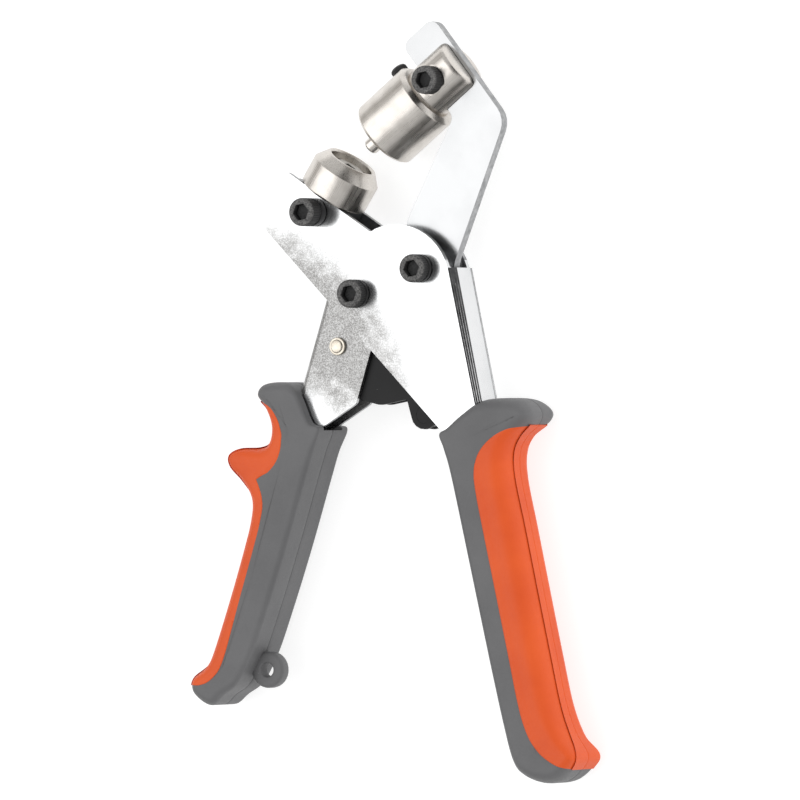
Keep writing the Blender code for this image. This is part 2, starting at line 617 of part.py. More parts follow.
def build_channel(parts, cutters, steel, pale):
    outline = channel_outline()
    holes = [(HANDLE_PIVOT, SLEEVE_R + GAP), (LINK_RIVET, PIN_R + GAP)]
    channel = plate("handle_channel", outline, -CHANNEL_OUT, CHANNEL_OUT, holes)
    round_bend(channel, (on_channel_web(-2.5), on_channel_web(-124.0)), CHANNEL_OUT, 2.6)
    channel.data.materials.append(steel)
    place(channel, parts)
    sheet = CHANNEL_OUT - CHANNEL_IN
    inside = [on_channel_web(30.0, sheet), on_channel_web(-140.0, sheet), Vector((20, -140)), Vector((20, 30))]
    pocket = plate("channel_inside", inside, -CHANNEL_IN, CHANNEL_IN)
    boolean(channel, as_cutter(place(pocket, cutters)))
    shade(channel.data)

    out = CHANNEL_OUT
    rivet = turned("link_rivet", [
        (0.0, out + 2.5), (1.4, out + 2.3), (2.5, out + 1.7), (3.0, out + 0.9), (3.0, out + GAP),
        (PIN_R, out + GAP), (PIN_R, -out - GAP), (3.0, -out - GAP), (3.0, -out - 0.9), (2.5, -out - 1.7),
        (1.4, -out - 2.3), (0.0, -out - 2.5)], BOLT_ROUND)
    rivet.data.materials.append(pale)
    place(rivet, parts, (*LINK_RIVET, 0.0))


def build_links(parts, black):
    holes = [(LINK_RIVET, PIN_R + GAP), (TAIL_PIN, PIN_R + OPEN_PIN_CLEARANCE)]
    for name, low, high in (("link_front", LINK_IN, LINK_OUT), ("link_rear", -LINK_OUT, -LINK_IN)):
        link = plate(name, link_outline(), low, high, holes)
        link.data.materials.append(black)
        place(link, parts)
        shade(link.data)
    ring("link_spacer", LINK_RIVET, PIN_R + GAP, 4.6, -LINK_IN + GAP, LINK_IN - GAP, parts, black)


# ---------------------------------------------------------------- the grips

def build_grip(side, knots, border, tang_outlines, half, tang_half, parts, cutters, grey, orange):
    """A grey core round the steel tang, and an orange overmould that wraps its outer side."""
    taken, tang = tang_outlines
    zone_points = [Vector(p) for p in border]
    far = 100.0 if side == "right" else -110.0
    closing = [Vector((far, border[-1][1])), Vector((far, border[0][1]))]
    zone_outline = zone_points + closing
    deep = half + 10
    spine_half = (half + tang_half + GAP) / 2 + 0.1

    core = pillow(side + "_grip_core", knots, half)
    core.data.materials.append(grey)
    place(core, parts)
    shade(core.data)
    zone = plate(side + "_zone", zone_outline, -deep, deep)
    spine = plate(side + "_spine", outset(tang, SPINE_WALL), -spine_half, spine_half)
    as_cutter(place(zone, cutters))
    as_cutter(place(spine, cutters))
    boolean(zone, spine)
    boolean(core, zone)
    pocket = plate(side + "_pocket", outset(taken, GAP), -tang_half - GAP, tang_half + GAP)
    boolean(core, as_cutter(place(pocket, cutters)))

    skin = pillow(side + "_grip_overmold", knots, half)
    skin.data.materials.append(orange)
    place(skin, parts)
    shade(skin.data)
    inner_zone = plate(side + "_skin_zone", outset(zone_outline, -GAP), -deep, deep)
    boolean(skin, as_cutter(place(inner_zone, cutters)), "INTERSECT")
    grown = plate(side + "_skin_inside", outset(tang, SPINE_WALL + GAP), -spine_half - GAP, spine_half + GAP)
    boolean(skin, as_cutter(place(grown, cutters)))
    return core


def build_grips(parts, cutters, grey, orange):
    left = build_grip("left", LEFT_GRIP, LEFT_ORANGE, channel_tang(), LEFT_HALF, CHANNEL_OUT,
                      parts, cutters, grey, orange)
    loop_at = (-63.2, -138.8, 0.0)
    loop = cylinder("lanyard_loop", 6.2, -2.6, 2.6, 28)
    boolean(left, as_cutter(place(loop, cutters, loop_at)), "UNION")
    boolean(left, as_cutter(place(cylinder("lanyard_hole", 2.5, -4, 4), cutters, loop_at)))
    build_grip("right", RIGHT_GRIP, RIGHT_ORANGE, frame_tang(), RIGHT_HALF, FRAME_OUT,
               parts, cutters, grey, orange)


def main():
    clear_scene()
    parts = make_collection("snap_setter_pliers")
    cutters = make_collection("cutters")
    steel = make_material("zinc_plated_steel", (0.82, 0.83, 0.84), 0.28, 1.0)
    nickel = make_material("nickel_plated_die", (0.72, 0.69, 0.65), 0.22, 1.0)
    pale = make_material("rivet_brass", (0.86, 0.80, 0.70), 0.3, 1.0)
    black = make_material("black_oxide", (0.03, 0.03, 0.033), 0.45, 0.6)
    grey = make_material("grip_grey", (0.16, 0.16, 0.165), 0.55, 0.0)
    orange = make_material("grip_orange", (0.80, 0.13, 0.03), 0.5, 0.0)
    build_frame(parts, cutters, steel)
    build_lower_die(parts, cutters, nickel, steel, black)
    build_pivots(parts, cutters, steel, black)
    build_spring(parts, steel)
    build_arm(parts, steel, black)
    build_upper_die(parts, cutters, nickel, black)
    build_channel(parts, cutters, steel, pale)
    build_links(parts, black)
    build_grips(parts, cutters, grey, orange)


main()
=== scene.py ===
import json
import math

import bmesh
import bpy
import numpy as np
from mathutils import Matrix, Vector


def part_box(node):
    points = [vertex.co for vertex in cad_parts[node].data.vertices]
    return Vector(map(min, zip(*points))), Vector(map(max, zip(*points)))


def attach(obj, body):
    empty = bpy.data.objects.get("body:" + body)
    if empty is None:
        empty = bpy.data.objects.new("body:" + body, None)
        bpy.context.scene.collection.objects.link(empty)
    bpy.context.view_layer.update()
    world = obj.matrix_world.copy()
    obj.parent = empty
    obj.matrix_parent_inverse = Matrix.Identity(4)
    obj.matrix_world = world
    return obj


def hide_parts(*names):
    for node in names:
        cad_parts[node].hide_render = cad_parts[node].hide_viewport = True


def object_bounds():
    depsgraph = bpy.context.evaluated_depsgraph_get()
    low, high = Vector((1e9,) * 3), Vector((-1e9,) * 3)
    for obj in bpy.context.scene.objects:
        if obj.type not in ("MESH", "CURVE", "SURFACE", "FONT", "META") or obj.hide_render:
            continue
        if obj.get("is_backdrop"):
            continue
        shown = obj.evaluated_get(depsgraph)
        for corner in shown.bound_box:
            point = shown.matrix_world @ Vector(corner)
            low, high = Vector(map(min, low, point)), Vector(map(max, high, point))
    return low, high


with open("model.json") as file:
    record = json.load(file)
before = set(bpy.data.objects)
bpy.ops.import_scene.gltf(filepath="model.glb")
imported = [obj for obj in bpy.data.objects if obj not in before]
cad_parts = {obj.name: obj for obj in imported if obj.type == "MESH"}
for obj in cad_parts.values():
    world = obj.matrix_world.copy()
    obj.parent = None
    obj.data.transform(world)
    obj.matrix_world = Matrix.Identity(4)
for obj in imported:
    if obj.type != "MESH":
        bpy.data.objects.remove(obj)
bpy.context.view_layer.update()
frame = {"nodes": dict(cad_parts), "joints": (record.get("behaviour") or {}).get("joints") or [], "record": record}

# everything below is worked out in millimetres from the tool's mid-plane, then placed in metres
mm = 0.001
joints = {j["name"]: Vector(j["pos_m"]) / mm for j in frame["joints"]}
midHeight = joints["arm_swing"].z
scene = bpy.context.scene


def middleOf(node):
    low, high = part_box(node)
    centre = (low + high) / 2 / mm
    return Vector((centre.x, centre.y, centre.z - midHeight))


armPivot = joints["arm_swing"] - Vector((0, 0, midHeight))
handlePivot = joints["handle_squeeze"] - Vector((0, 0, midHeight))
linkRivet = joints["link_turn"] - Vector((0, 0, midHeight))
dieScrew = middleOf("lower_die_screw_collar")
slotOf = {s["node"]: s["material_slot"] for s in frame["record"]["subparts"]}


# camera, floor and light

cameraSetup = {
    "lookAt": (-0.0121, -0.0452),
    "towards": (0.475, 0.0, 0.880),      # from the tool to the camera
    "lens": 500.0,
    "pixelsPerMm": 2.9,
}

studioSetup = {
    "worldStrength": 0.66,
    "floorColor": (0.42, 0.42, 0.42),
    "floorGlow": 0.74,                   # a light table, so the floor stays white under the tool
    "softboxAt": (-0.85, -0.05, 1.50),
    "softboxSize": (1.7, 1.9),
    "softboxPower": 12.0,
    "sideAt": (1.35, 0.25, 0.55),
    "sideSize": (0.9, 0.9),
    "sidePower": 8.0,
    "cardRadius": 1.3,
}


def makeCamera(setup):
    towards = Vector(setup["towards"]).normalized()
    distance = setup["lens"] / 36.0 * 800 / setup["pixelsPerMm"] * mm
    data = bpy.data.cameras.new("camera")
    data.lens = setup["lens"]
    data.sensor_width = 36.0
    data.clip_start, data.clip_end = 0.01, 50.0
    camera = bpy.data.objects.new("camera", data)
    scene.collection.objects.link(camera)
    across = Vector((0, 1, 0)).cross(towards).normalized()
    turn = Matrix((across, towards.cross(across), towards)).transposed().to_4x4()
    target = Vector((*setup["lookAt"], midHeight * mm))
    camera.matrix_world = Matrix.Translation(target + towards * distance) @ turn
    scene.camera = camera


def areaLight(name, at, size, power, glossy=True):
    data = bpy.data.lights.new(name, "AREA")
    data.shape = "RECTANGLE"
    data.size, data.size_y = size
    data.energy = power
    light = bpy.data.objects.new(name, data)
    scene.collection.objects.link(light)
    light.rotation_mode = "QUATERNION"
    light.rotation_quaternion = (Vector((0, -0.04, 0)) - Vector(at)).to_track_quat("-Z", "Y")
    light.location = at
    light.visible_camera = False
    light.visible_glossy = glossy


def gridQuads(rows, columns, wrap=True):
    # one quad for each cell of a rows x columns grid; wrap joins the last column to the first
    r = np.arange(rows - 1)[:, None]
    c = np.arange(columns if wrap else columns - 1)[None, :]
    n = (c + 1) % columns
    corners = [r * columns + c, r * columns + n, (r + 1) * columns + n, (r + 1) * columns + c]
    return np.stack(corners, -1).reshape(-1, 4)


def gridMesh(name, points, faces):
    mesh = bpy.data.meshes.new(name)
    mesh.vertices.add(len(points))
    mesh.vertices.foreach_set("co", np.asarray(points, np.float32).ravel())
    mesh.loops.add(faces.size)
    mesh.loops.foreach_set("vertex_index", faces.astype(np.int32).ravel())
    mesh.polygons.add(len(faces))
    mesh.polygons.foreach_set("loop_start", np.arange(0, faces.size, 4, dtype=np.int32))
    mesh.update(calc_edges=True)
    return mesh


def makeCard(name, azimuth, elevation, radius, brightness):
    # a curved screen round the tool that only reflections see: (radius, azimuth, elevation) on a sphere
    a = np.radians(np.linspace(*azimuth, 24))[None, :]
    e = np.radians(np.linspace(*elevation, 8))[:, None]
    points = np.stack([radius * np.cos(e) * np.cos(a), radius * np.cos(e) * np.sin(a),
                       radius * np.sin(e) + 0 * a], -1).reshape(-1, 3)
    mesh = gridMesh(name, points, gridQuads(8, 24, False))
    card = bpy.data.objects.new(name, mesh)
    scene.collection.objects.link(card)
    paint = bpy.data.materials.new(name + "Paint")
    paint.use_nodes = True
    shader = paint.node_tree.nodes["Principled BSDF"]
    shader.inputs["Base Color"].default_value = (0, 0, 0, 1)
    shader.inputs["Specular IOR Level"].default_value = 0
    shader.inputs["Emission Color"].default_value = (1, 0.98, 0.95, 1)
    shader.inputs["Emission Strength"].default_value = brightness
    mesh.materials.append(paint)
    card.visible_camera = card.visible_diffuse = card.visible_shadow = False
    card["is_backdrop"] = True


def makeStudio(setup):
    size = 30.0
    corners = [(-size, -size, 0), (size, -size, 0), (size, size, 0), (-size, size, 0)]
    mesh = bpy.data.meshes.new("floor")
    mesh.from_pydata(corners, [], [(0, 1, 2, 3)])
    floor = bpy.data.objects.new("floor", mesh)
    scene.collection.objects.link(floor)
    paint = bpy.data.materials.new("floorPaint")
    paint.use_nodes = True
    shader = paint.node_tree.nodes["Principled BSDF"]
    shader.inputs["Base Color"].default_value = (*setup["floorColor"], 1)
    shader.inputs["Roughness"].default_value = 0.9
    shader.inputs["Emission Color"].default_value = (1, 1, 1, 1)
    shader.inputs["Emission Strength"].default_value = setup["floorGlow"]
    mesh.materials.append(paint)
    floor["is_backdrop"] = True
    world = bpy.data.worlds.new("studio")
    scene.world = world
    world.use_nodes = True
    background = world.node_tree.nodes["Background"]
    background.inputs["Color"].default_value = (1, 1, 1, 1)
    background.inputs["Strength"].default_value = setup["worldStrength"]
    scene.view_settings.view_transform = "Standard"
    areaLight("softbox", setup["softboxAt"], setup["softboxSize"], setup["softboxPower"])
    areaLight("side", setup["sideAt"], setup["sideSize"], setup["sidePower"], glossy=False)
    makeCard("darkRight", (-85, -22), (1, 27), setup["cardRadius"], 0.03)
    makeCard("darkUpper", (-8, 58), (18, 62), setup["cardRadius"], 0.05)
    makeCard("greyLeft", (120, 245), (2, 30), setup["cardRadius"], 0.50)


makeCamera(cameraSetup)
makeStudio(studioSetup)
print("camera and light ready")


# finishes

def addNode(tree, kind, inputs=None, **settings):
    node = tree.nodes.new(kind)
    for key, value in settings.items():
        setattr(node, key, value)
    for key, value in (inputs or {}).items():
        if isinstance(value, bpy.types.NodeSocket):
            tree.links.new(value, node.inputs[key])
        else:
            node.inputs[key].default_value = value
    return node


def newFinish(name, metallic):
    mat = bpy.data.materials.new(name)
    mat.use_nodes = True
    tree = mat.node_tree
    shader = tree.nodes["Principled BSDF"]
    shader.inputs["Metallic"].default_value = metallic
    coords = addNode(tree, "ShaderNodeTexCoord").outputs["Object"]
    return mat, tree, shader, coords


def ramp(tree, factor, stops, interpolation="LINEAR"):
    node = addNode(tree, "ShaderNodeValToRGB", {"Fac": factor})
    node.color_ramp.interpolation = interpolation
    while len(node.color_ramp.elements) < len(stops):
        node.color_ramp.elements.new(0.5)
    for element, (at, value) in zip(node.color_ramp.elements, stops):
        element.position = at
        color = value if isinstance(value, tuple) else (value, value, value)
        element.color = (*color, 1)
    return node.outputs["Color"]


def noise(tree, coords, scale, detail=2.0, roughness=0.5):
    return addNode(tree, "ShaderNodeTexNoise", {"Vector": coords, "Scale": scale, "Detail": detail,
                                                "Roughness": roughness}).outputs["Fac"]


def bump(tree, height, strength, distance, before=None):
    inputs = {"Height": height, "Strength": strength, "Distance": distance}
    if before is not None:
        inputs["Normal"] = before
    return addNode(tree, "ShaderNodeBump", inputs).outputs["Normal"]


def mixColor(tree, factor, first, second, blend="MIX"):
    node = addNode(tree, "ShaderNodeMix", data_type="RGBA", blend_type=blend)
    for index, value in ((0, factor), (6, first), (7, second)):
        if isinstance(value, bpy.types.NodeSocket):
            tree.links.new(value, node.inputs[index])
        else:
            node.inputs[index].default_value = (*value, 1) if isinstance(value, tuple) else value
    return node.outputs[2]


zincLook = {
    "clean": (0.80, 0.805, 0.81),
    "dull": (0.73, 0.74, 0.75),
    # colour of the painted darker reflection zone, with sandy grain
    "sandyPaintedShade": (0.51, 0.51, 0.505),
    "speck": (0.24, 0.235, 0.23),
    "grainScale": 2600.0,                # about 0.4 mm to a grain
    "zoneAt": (-0.0405, -0.0190, 0.0),   # where a darker sandy zone is painted on the plating: a painted darker reflection with grain specks
    "zoneTurn": math.radians(-45),
    "zoneSize": (0.056, 0.027, 0.2),
}


def zincSteel(name, look, sandyPaintedShade):
    mat, tree, shader, coords = newFinish(name, 1.0)
    patches = noise(tree, coords, 45.0, 3.0)
    base = ramp(tree, patches, [(0.35, look["dull"]), (0.62, look["clean"])])
    grain = noise(tree, coords, look["grainScale"], 2.0, 0.7)
    # painted darker reflection: a zone of darker sandy grey with dark grain specks is painted into the plating's
    # colour
    if sandyPaintedShade:
        zone = addNode(tree, "ShaderNodeMapping", {
            "Vector": coords, "Location": look["zoneAt"], "Rotation": (0, 0, look["zoneTurn"]),
            "Scale": look["zoneSize"]}, vector_type="TEXTURE").outputs["Vector"]
        spot = addNode(tree, "ShaderNodeTexGradient", {"Vector": zone},
                       gradient_type="SPHERICAL").outputs["Fac"]
        ragged = addNode(tree, "ShaderNodeMath", {0: spot, 1: noise(tree, coords, 160.0, 3.0)},
                         operation="MULTIPLY").outputs[0]
        amount = ramp(tree, ragged, [(0.03, 0.0), (0.24, 1.0)])
        dark = ramp(tree, grain, [(0.42, 1.0), (0.62, 0.0)])
        base = mixColor(tree, amount, base, look["sandyPaintedShade"])
        share = addNode(tree, "ShaderNodeMath", {0: amount, 1: dark}, operation="MULTIPLY").outputs[0]
        base = mixColor(tree, share, base, look["speck"])
        rough = ramp(tree, amount, [(0.0, 0.20), (1.0, 0.42)])
    else:
        rough = ramp(tree, patches, [(0.3, 0.26), (0.7, 0.18)])
    tree.links.new(base, shader.inputs["Base Color"])
    tree.links.new(rough, shader.inputs["Roughness"])
    tree.links.new(bump(tree, grain, 0.10, 0.00006), shader.inputs["Normal"])
    return mat


nickelLook = {
    "bright": (0.74, 0.705, 0.66),
    "deep": (0.60, 0.565, 0.525),
    "lineScale": (2600.0, 2600.0, 90.0),   # fine lines along the die's axis
}


def brushedNickel(name, look, leanAngle):
    mat, tree, shader, coords = newFinish(name, 1.0)
    turned = addNode(tree, "ShaderNodeMapping", {
        "Vector": coords, "Rotation": (0, 0, -leanAngle)}, vector_type="POINT").outputs["Vector"]
    stretched = addNode(tree, "ShaderNodeMapping", {
        "Vector": turned, "Scale": (look["lineScale"][2], look["lineScale"][0], look["lineScale"][1])},
        vector_type="POINT").outputs["Vector"]
    lines = noise(tree, stretched, 1.0, 3.0, 0.6)
    cloud = noise(tree, coords, 240.0, 2.0)
    shade = addNode(tree, "ShaderNodeMath", {0: lines, 1: cloud}, operation="MULTIPLY_ADD").outputs[0]
    tree.nodes[-1].inputs[2].default_value = 0.1
    color = ramp(tree, shade, [(0.22, look["deep"]), (0.48, look["bright"])])
    tree.links.new(color, shader.inputs["Base Color"])
    tree.links.new(ramp(tree, lines, [(0.35, 0.26), (0.7, 0.38)]), shader.inputs["Roughness"])
    tree.links.new(bump(tree, lines, 0.16, 0.00008), shader.inputs["Normal"])
    return mat


def blackOxide(name, worn):
    mat, tree, shader, coords = newFinish(name, 0.0)
    shader.inputs["Specular IOR Level"].default_value = 0.38
    fine = noise(tree, coords, 1700.0, 3.0, 0.65)
    cloud = noise(tree, coords, 300.0, 2.0)
    base = ramp(tree, cloud, [(0.3, (0.007, 0.007, 0.0075)), (0.7, (0.016, 0.016, 0.017))])
    wear = addNode(tree, "ShaderNodeAttribute", attribute_name="wear").outputs["Fac"]
    patchy = addNode(tree, "ShaderNodeMath", {0: wear, 1: ramp(tree, fine, [(0.38, 0.15), (0.62, 1.0)])},
                     operation="MULTIPLY").outputs[0]
    base = mixColor(tree, patchy, base, worn)
    tree.links.new(base, shader.inputs["Base Color"])
    tree.links.new(ramp(tree, fine, [(0.3, 0.34), (0.7, 0.52)]), shader.inputs["Roughness"])
    tree.links.new(bump(tree, fine, 0.25, 0.00008), shader.inputs["Normal"])
    return mat


def flatBlack(name):
    # the links: smooth blackened steel with a few bright specks of dust and bare metal
    mat, tree, shader, coords = newFinish(name, 0.0)
    shader.inputs["Specular IOR Level"].default_value = 0.25
    cloud = noise(tree, coords, 120.0, 3.0)
    base = ramp(tree, cloud, [(0.3, (0.007, 0.007, 0.0075)), (0.7, (0.013, 0.013, 0.0135))])
    dots = addNode(tree, "ShaderNodeTexVoronoi", {"Vector": coords, "Scale": 330.0}).outputs["Distance"]
    few = noise(tree, coords, 210.0, 1.0)
    speck = addNode(tree, "ShaderNodeMath", {0: ramp(tree, dots, [(0.055, 1.0), (0.085, 0.0)]),
                                             1: ramp(tree, few, [(0.58, 0.0), (0.62, 1.0)])},
                    operation="MULTIPLY").outputs[0]
    base = mixColor(tree, speck, base, (0.55, 0.55, 0.54))
    tree.links.new(base, shader.inputs["Base Color"])
    tree.links.new(ramp(tree, cloud, [(0.3, 0.42), (0.7, 0.55)]), shader.inputs["Roughness"])
    tree.links.new(bump(tree, noise(tree, coords, 1500.0), 0.15, 0.00006), shader.inputs["Normal"])
    return mat


def bareMetal(name, light, dark, rough):
    mat, tree, shader, coords = newFinish(name, 1.0)
    cloud = noise(tree, coords, 420.0, 3.0, 0.6)
    tree.links.new(ramp(tree, cloud, [(0.3, dark), (0.65, light)]), shader.inputs["Base Color"])
    tree.links.new(ramp(tree, cloud, [(0.3, rough + 0.12), (0.7, rough)]), shader.inputs["Roughness"])
    tree.links.new(bump(tree, noise(tree, coords, 1600.0), 0.15, 0.00006), shader.inputs["Normal"])
    return mat


def mouldedPlastic(name, light, dark, rough, grain):
    mat, tree, shader, coords = newFinish(name, 0.0)
    shader.inputs["Specular IOR Level"].default_value = 0.35
    cloud = noise(tree, coords, 55.0, 4.0, 0.55)
    skin = noise(tree, coords, 1300.0, 3.0, 0.6)
    base = ramp(tree, cloud, [(0.32, dark), (0.68, light)])
    dots = addNode(tree, "ShaderNodeTexVoronoi", {"Vector": coords, "Scale": 300.0}).outputs["Distance"]
    few = noise(tree, coords, 130.0, 1.0)
    speck = addNode(tree, "ShaderNodeMath", {0: ramp(tree, dots, [(0.04, 1.0), (0.07, 0.0)]),
                                             1: ramp(tree, few, [(0.62, 0.0), (0.66, 0.4)])},
                    operation="MULTIPLY").outputs[0]
    base = mixColor(tree, speck, base, tuple(min(1.0, c * 1.8 + 0.05) for c in light))
    tree.links.new(base, shader.inputs["Base Color"])
    tree.links.new(ramp(tree, skin, [(0.3, rough - 0.06), (0.7, rough + 0.08)]), shader.inputs["Roughness"])
    fine = bump(tree, skin, grain, 0.00010)
    tree.links.new(bump(tree, cloud, 0.12, 0.0006, fine), shader.inputs["Normal"])
    return mat


dieLean = {"lower": math.radians(57.3), "upper": math.radians(38.5)}
finishes = {
    "plate": zincSteel("zincPlate", zincLook, True),
    # the handle's fold is painted a darker grey: painted shade where the bend turns away from the light
    "fold": zincSteel("zincFoldPaintedShade", dict(zincLook, clean=(0.60, 0.60, 0.595), dull=(0.48, 0.48, 0.475)), True),
    "arm": zincSteel("zincArm", dict(zincLook, clean=(0.535, 0.54, 0.545), dull=(0.49, 0.495, 0.50)), False),
    "lowerDie": brushedNickel("nickelLowerDie", nickelLook, dieLean["lower"]),
    "upperDie": brushedNickel("nickelUpperDie", nickelLook, dieLean["upper"]),
    "screw": blackOxide("blackOxide", (0.20, 0.195, 0.19)),
    "link": flatBlack("blackLink"),
    "cutEdge": bareMetal("cutEdge", (0.46, 0.465, 0.47), (0.30, 0.305, 0.31), 0.42),
    # the frame's bend is painted near black: a painted dark reflection, not the metal's own colour
    "bend": bareMetal("bendPaintedDarkReflection", (0.11, 0.11, 0.112), (0.035, 0.035, 0.036), 0.50),
    "wire": bareMetal("springWire", (0.46, 0.46, 0.47), (0.30, 0.30, 0.31), 0.28),
    "insert": bareMetal("insertMetal", (0.62, 0.60, 0.565), (0.42, 0.405, 0.38), 0.34),
    "rivet": bareMetal("rivetMetal", (0.80, 0.74, 0.64), (0.64, 0.58, 0.49), 0.34),
    "grey": mouldedPlastic("gripGrey", (0.140, 0.140, 0.143), (0.122, 0.122, 0.125), 0.52, 0.30),
    "orange": mouldedPlastic("gripOrange", (0.73, 0.100, 0.016), (0.66, 0.080, 0.012), 0.50, 0.22),
}
plainFinish = {"plated_steel": "arm", "nickel_die": "lowerDie", "black_oxide": "screw",
               "spring_steel": "wire", "rivet_metal": "rivet", "grip_grey": "grey", "grip_orange": "orange"}
for nodeName, obj in frame["nodes"].items():
    obj.data.materials.clear()
    obj.data.materials.append(finishes[plainFinish[slotOf[nodeName]]])
frame["nodes"]["lower_die_block"].data.materials[0] = finishes["wire"]
print("finishes ready")


# tools for the pieces

def shadePiece(mesh, sharp):
    mesh.shade_smooth()
    mesh.set_sharp_from_angle(angle=math.radians(sharp))


def makePiece(name, points, faces, look, body, node, sharp=34.0, wear=None):
    # points are millimetres from the mid-plane; the mesh keeps its place and the object stays at the origin
    placed = (np.asarray(points, float).reshape(-1, 3) + (0, 0, midHeight)) * mm
    mesh = gridMesh(name, placed, faces)
    if wear is not None:
        layer = mesh.attributes.new("wear", "FLOAT", "POINT")
        layer.data.foreach_set("value", np.asarray(wear, np.float32).ravel())
    edit = bmesh.new()
    edit.from_mesh(mesh)
    bmesh.ops.remove_doubles(edit, verts=edit.verts, dist=0.000002)
    bmesh.ops.holes_fill(edit, edges=[e for e in edit.edges if e.is_boundary])
    bmesh.ops.recalc_face_normals(edit, faces=edit.faces)
    edit.to_mesh(mesh)
    edit.free()
    shadePiece(mesh, sharp)
    obj = bpy.data.objects.new(name, mesh)
    scene.collection.objects.link(obj)
    mesh.materials.append(finishes[look])
    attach(obj, body)
    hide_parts(node)
    return obj


def carve(obj, cutters, sharp=34.0):
    # takes the cutters out of a piece and keeps the result as its mesh
    for cutter in cutters:
        mod = obj.modifiers.new("carve", "BOOLEAN")
        mod.object, mod.operation, mod.solver = cutter, "DIFFERENCE", "EXACT"
    bpy.context.view_layer.update()
    result = bpy.data.meshes.new_from_object(obj.evaluated_get(bpy.context.evaluated_depsgraph_get()))
    obj.modifiers.clear()
    result.name = obj.name
    obj.data = result
    shadePiece(result, sharp)
    for cutter in cutters:
        bpy.data.objects.remove(cutter, do_unlink=True)


def cutterPiece(name, points, faces):
    placed = (np.asarray(points, float).reshape(-1, 3) + (0, 0, midHeight)) * mm
    mesh = gridMesh(name, placed, faces)
    edit = bmesh.new()
    edit.from_mesh(mesh)
    bmesh.ops.remove_doubles(edit, verts=edit.verts, dist=0.000002)
    bmesh.ops.holes_fill(edit, edges=[e for e in edit.edges if e.is_boundary])
    bmesh.ops.recalc_face_normals(edit, faces=edit.faces)
    edit.to_mesh(mesh)
    edit.free()
    obj = bpy.data.objects.new(name, mesh)
    scene.collection.objects.link(obj)
    return obj


def softProfile(corners, steps=4):
    # (radius, height, fillet) corners to one line of points, each fillet an arc tangent to both its sides
    out = []
    spots = [np.array(c[:2], float) for c in corners]
    for i, (r, h, fillet) in enumerate(corners):
        here = spots[i]
        if fillet == 0 or i in (0, len(corners) - 1):
            out.append(here[None])
            continue
        back, ahead = spots[i - 1] - here, spots[i + 1] - here
        reach = min(fillet, 0.48 * np.linalg.norm(back), 0.48 * np.linalg.norm(ahead))
        first = here + back / np.linalg.norm(back) * reach
        last = here + ahead / np.linalg.norm(ahead) * reach
        t = np.linspace(0, 1, steps + 1)[:, None]
        out.append((1 - t) ** 2 * first + 2 * t * (1 - t) * here + t ** 2 * last)
    line = np.concatenate(out)
    return line[:, 0], line[:, 1]


def axisFrame(angle):
    # an axis in the tool's plane, the direction to its right, and the direction away from the floor
    along = np.array([math.cos(angle), math.sin(angle), 0.0])
    return along, np.array([along[1], -along[0], 0.0]), np.array([0.0, 0.0, 1.0])


upright = (np.array([0.0, 0.0, 1.0]), np.array([1.0, 0.0, 0.0]), np.array([0.0, 1.0, 0.0]))


def turnedGrid(radius, height, at, axes, steps):
    # point(i, a) = at + axis * height[i] + radius[i, a] * (first * cos a + second * sin a)
    axis, first, second = axes
    a = np.linspace(0, 2 * np.pi, steps, endpoint=False)
    table = radius if np.ndim(radius) == 2 else np.asarray(radius)[:, None]
    radius = np.broadcast_to(table, (len(height), steps))
    ring = np.cos(a)[:, None] * first + np.sin(a)[:, None] * second
    points = np.asarray(at, float) + np.asarray(height)[:, None, None] * axis + radius[..., None] * ring
    return points, gridQuads(len(height), steps)


def turnedPiece(name, corners, at, axes, look, body, node, steps=128, sharp=34.0):
    # a rounded profile of radii and heights turned about an axis
    radius, height = softProfile(corners)
    points, faces = turnedGrid(radius, height, at, axes, steps)
    return makePiece(name, points, faces, look, body, node, sharp)


def hexRadius(steps, flat, turn=0.0):
    # distance from the middle to the side of a hexagon with that half width across its flats
    a = np.linspace(0, 2 * np.pi, steps, endpoint=False) + turn
    return flat / np.cos((a + np.pi / 6) % (np.pi / 3) - np.pi / 6)


# sheet steel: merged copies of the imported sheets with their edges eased

def edgeLooks(mesh, web):
    # 0 the wide faces, 1 the cut edges, 2 the front of the bend, told apart by where each face looks;
    # web is the direction that the folded web looks in, or nothing for a flat plate
    count = len(mesh.polygons)
    normals = np.empty(count * 3, np.float32)
    mesh.polygons.foreach_get("normal", normals)
    normals = normals.reshape(-1, 3)
    upright = np.abs(normals[:, 2])
    looks = np.where(upright < 0.02, 1, 0)
    if web is not None:
        towardsWeb = normals[:, 0] * math.cos(web) + normals[:, 1] * math.sin(web)
        looks = np.where((looks == 1) & (np.abs(towardsWeb) < 0.985), 1, 0)
        looks = np.where((towardsWeb > 0.12) & (normals[:, 2] > 0.05), 2, looks)
        looks = np.where((towardsWeb > 0.12) & (normals[:, 2] < -0.05), 1, looks)
    mesh.polygons.foreach_set("material_index", looks.astype(np.int32))


def easedSheet(node, look, body, web=None, bendLook="cutEdge", ease=0.28):
    mesh = frame["nodes"][node].data.copy()
    mesh.name = node + "Eased"
    edit = bmesh.new()
    edit.from_mesh(mesh)
    bmesh.ops.remove_doubles(edit, verts=edit.verts, dist=0.000002)
    bmesh.ops.dissolve_limit(edit, angle_limit=math.radians(0.6), verts=edit.verts, edges=edit.edges)
    edit.to_mesh(mesh)
    edit.free()
    mesh.materials.clear()
    mesh.materials.append(finishes[look])
    if look in ("plate", "arm"):
        mesh.materials.append(finishes["cutEdge"])
        mesh.materials.append(finishes[bendLook])
        edgeLooks(mesh, web)
    obj = bpy.data.objects.new(node + "Eased", mesh)
    scene.collection.objects.link(obj)
    mod = obj.modifiers.new("ease", "BEVEL")
    mod.width = ease * mm
    mod.segments = 2
    mod.limit_method = "ANGLE"
    mod.angle_limit = math.radians(40)
    shadePiece(mesh, 40.0)
    if look in ("plate", "arm"):
        mod.material = 1
    weigh = obj.modifiers.new("flatten", "WEIGHTED_NORMAL")   # keeps the wide faces flat beside the bends
    weigh.keep_sharp = True
    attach(obj, body)
    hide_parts(node)
    return obj


